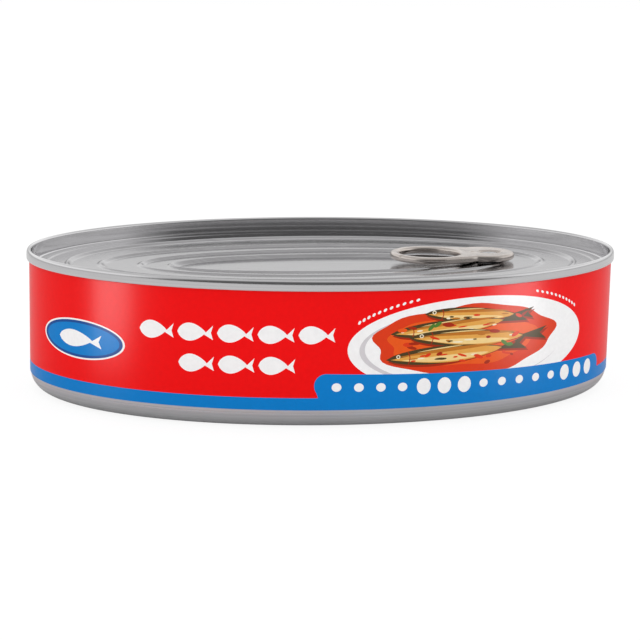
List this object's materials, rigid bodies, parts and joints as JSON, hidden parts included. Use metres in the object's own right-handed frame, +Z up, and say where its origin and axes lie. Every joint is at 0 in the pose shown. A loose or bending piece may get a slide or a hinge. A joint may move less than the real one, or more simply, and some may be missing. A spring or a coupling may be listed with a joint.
{
  "type": "sardine tin",
  "caption": "Oval drawn steel fish tin with a seamed easy-open lid, stepped panel, ring-pull tab and wrap-round printed label.",
  "frame": {"origin": "centre of the standing base, on the surface the tin stands on", "axes": "+X along the tin towards the nose of the pull tab, +Y across the tin towards the back, +Z up through the lid; the label's front faces -Y"},
  "size_m": [0.1634, 0.111, 0.0381],
  "materials": {
    "tinplate": "satin tinplate",
    "label_print": "glossy printed paper",
    "lid_tinplate": "satin tinplate",
    "tab_steel": "warm bright tinplate"
  },
  "bodies": {
    "root": {"can_body": "tinplate", "label": "label_print", "lid": "lid_tinplate", "pull_tab": "tab_steel"}
  },
  "joints": []
}
